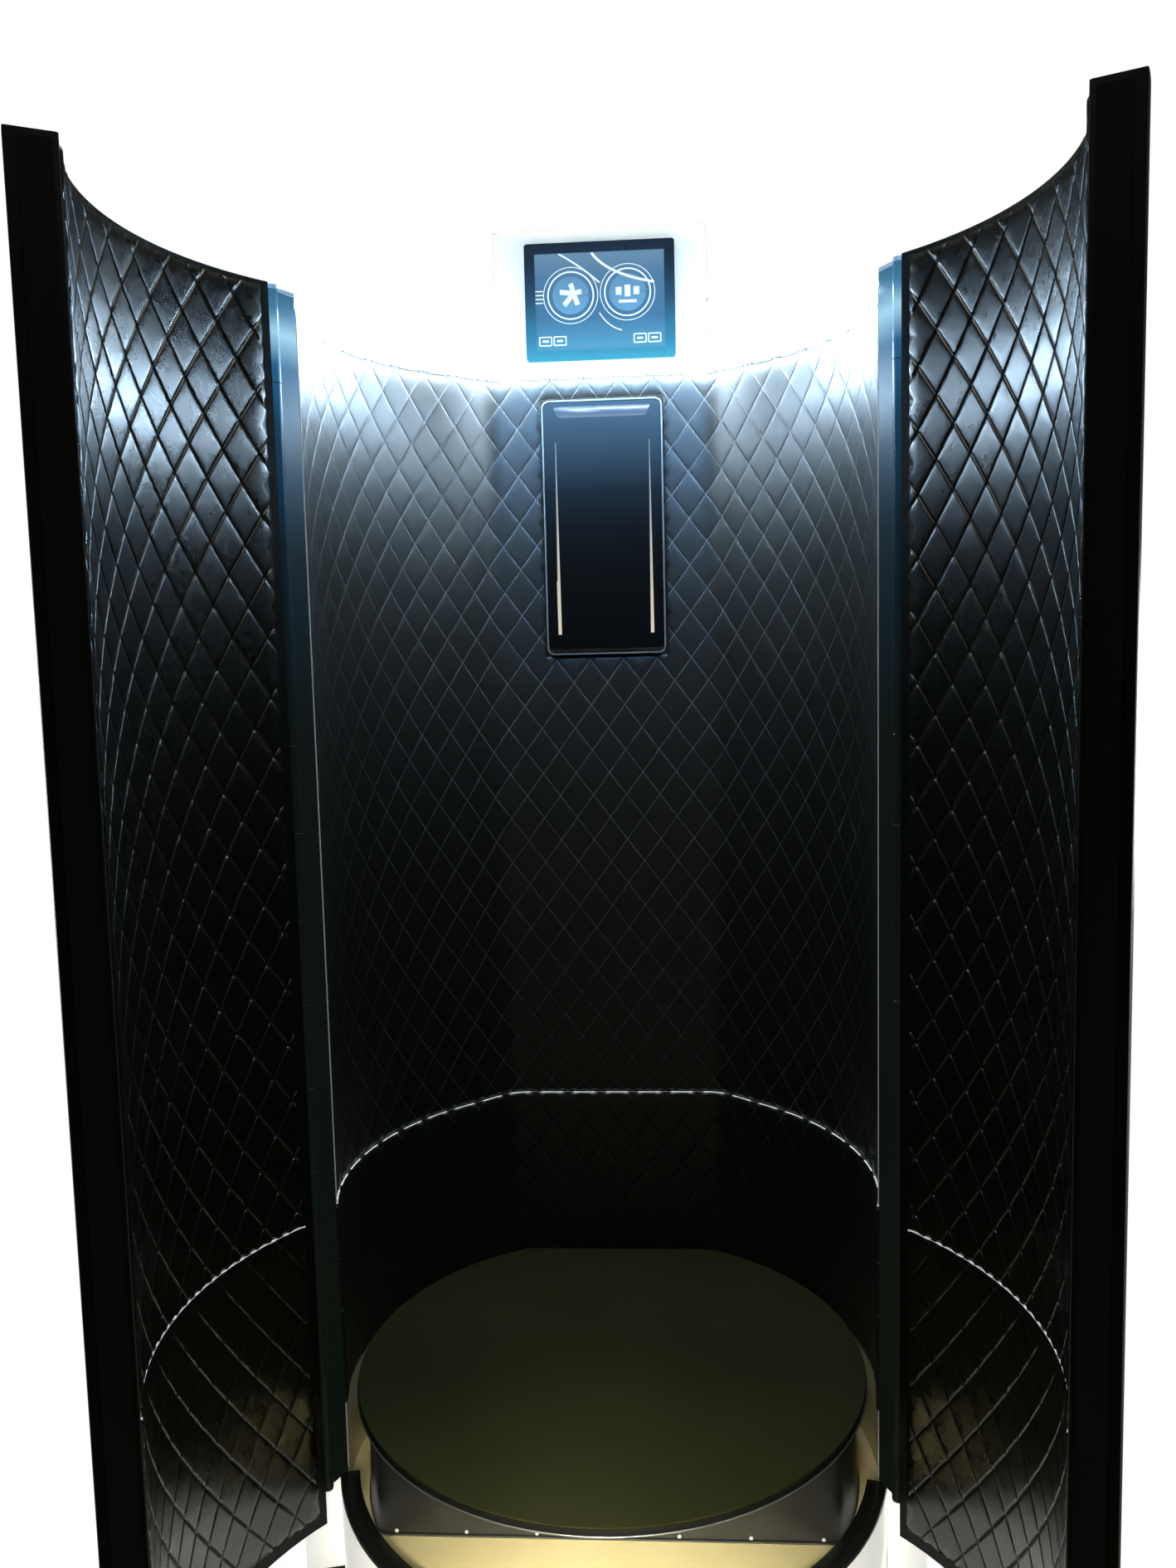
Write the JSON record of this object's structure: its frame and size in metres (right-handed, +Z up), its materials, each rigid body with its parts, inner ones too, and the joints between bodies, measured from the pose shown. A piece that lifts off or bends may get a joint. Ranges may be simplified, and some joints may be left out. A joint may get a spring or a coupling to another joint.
{
  "type": "round walk-in booth",
  "caption": "Round walk-in booth: open-topped quilted cabin, two curved hinged doors, lifting floor platform, lit rim and a rear machine tower with a touch screen.",
  "frame": {"origin": "on the floor under the centre of the round cabin, the underside of the centre foot", "axes": "+Z up, -Y out through the doorway, +X to the right of a person looking in"},
  "size_m": [1.0397, 1.2814, 1.953],
  "materials": {
    "quilted_leather": "black diamond-quilted leatherette, soft satin sheen",
    "skirt_leather": "black smooth leatherette, satin",
    "insulation": "matt foam",
    "liner_board": "raw plywood",
    "steel": "brushed",
    "chrome_trim": "polished",
    "jamb_metal": "dark anodised, glossy",
    "door_frame_metal": "satin black powder coat",
    "seal_rubber": "matt",
    "cream_pan": "semi-gloss cream",
    "light_diffuser": "opal, lit from inside",
    "light_bar": "opal, lit from inside",
    "gloss_panel": "high gloss black",
    "bezel_plastic": "gloss black",
    "display": "lit touch screen under glass",
    "tower_paint": "fine satin cream white",
    "circuit_board": "green board",
    "fin_aluminium": "bare",
    "compressor_shell": "black enamel",
    "fan_plastic": "matt",
    "column_metal": "anodised",
    "platform_mat": "board with dark olive ribless rubber mat, fine matt grain",
    "black_sheet": "satin black powder coat"
  },
  "bodies": {
    "cabin": {"base_plate": "black_sheet", "base_plinth": "black_sheet", "threshold_ring": "black_sheet", "floor_pan": "cream_pan", "wall_skirting": "cream_pan", "foot_centre": "steel", "foot_front_left": "steel", "foot_front_right": "steel", "foot_rear_left": "steel", "foot_rear_right": "steel", "wall_quilt_lower": "quilted_leather", "wall_quilt_upper": "quilted_leather", "wall_liner": "liner_board", "wall_insulation": "insulation", "wall_outer_shell_left": "black_sheet", "wall_outer_shell_right": "black_sheet", "wall_back_plate": "black_sheet", "rim_light": "light_diffuser", "rim_cap": "black_sheet", "jamb_post_left": "jamb_metal", "jamb_post_right": "jamb_metal", "hinge_pin_left": "steel", "hinge_pin_right": "steel", "panel_surround": "chrome_trim", "cold_air_duct": "steel", "tower_housing": "tower_paint", "tower_rear_cover": "tower_paint", "power_inlet": "bezel_plastic", "screen_bezel": "bezel_plastic", "screen_glass": "display", "control_board": "circuit_board", "power_supply": "steel", "evaporator": "fin_aluminium", "fan_shroud": "fan_plastic", "compressor": "compressor_shell", "column_outer": "column_metal"},
    "left_door": {"door_frame_left": "door_frame_metal", "door_quilt_lower_left": "quilted_leather", "door_quilt_upper_left": "quilted_leather", "door_liner_left": "liner_board", "door_insulation_left": "insulation", "door_outer_shell_left": "black_sheet", "door_seal_left": "seal_rubber"},
    "right_door": {"door_frame_right": "door_frame_metal", "door_quilt_lower_right": "quilted_leather", "door_quilt_upper_right": "quilted_leather", "door_liner_right": "liner_board", "door_insulation_right": "insulation", "door_outer_shell_right": "black_sheet", "door_seal_right": "seal_rubber"},
    "panel_flap": {"panel_flap": "gloss_panel", "panel_light_bar_left": "light_bar", "panel_light_bar_right": "light_bar"},
    "fan": {"fan_rotor": "fan_plastic"},
    "rocker": {"mains_switch": "bezel_plastic"},
    "lift_stage": {"column_middle": "steel"},
    "platform": {"column_inner": "column_metal", "platform_frame": "steel", "platform_board": "platform_mat", "skirt": "skirt_leather"}
  },
  "joints": [
    {"name": "left_door_hinge", "type": "hinge", "parent": "cabin", "child": "left_door", "pos_m": [-0.37743, -0.12629, 1], "axis": [0, 0, -1], "range_deg": [-60, 30]},
    {"name": "right_door_hinge", "type": "hinge", "parent": "cabin", "child": "right_door", "pos_m": [0.37743, -0.12629, 1], "axis": [0, 0, 1], "range_deg": [-64, 26]},
    {"name": "platform_lift", "type": "slide", "parent": "cabin", "child": "platform", "axis": [0, 0, 1], "range_m": [0, 0.34], "deforming": ["skirt"]},
    {"name": "lift_stage_slide", "type": "slide", "parent": "cabin", "child": "lift_stage", "axis": [0, 0, 1], "range_m": [0, 0.17]},
    {"name": "panel_flap_hinge", "type": "hinge", "parent": "cabin", "child": "panel_flap", "pos_m": [0, 0.341, 1.296], "axis": [1, 0, 0], "range_deg": [0, 60]},
    {"name": "fan_spin", "type": "hinge", "parent": "cabin", "child": "fan", "pos_m": [0, 0.6, 1.48], "axis": [0, 1, 0], "continuous": true},
    {"name": "mains_switch_rock", "type": "hinge", "parent": "cabin", "child": "rocker", "pos_m": [-0.12, 0.676, 0.165], "axis": [1, 0, 0], "range_deg": [0, 20]}
  ],
  "couplings": [
    {"joint": "lift_stage_slide", "follows": "platform_lift", "ratio": 0.5}
  ]
}
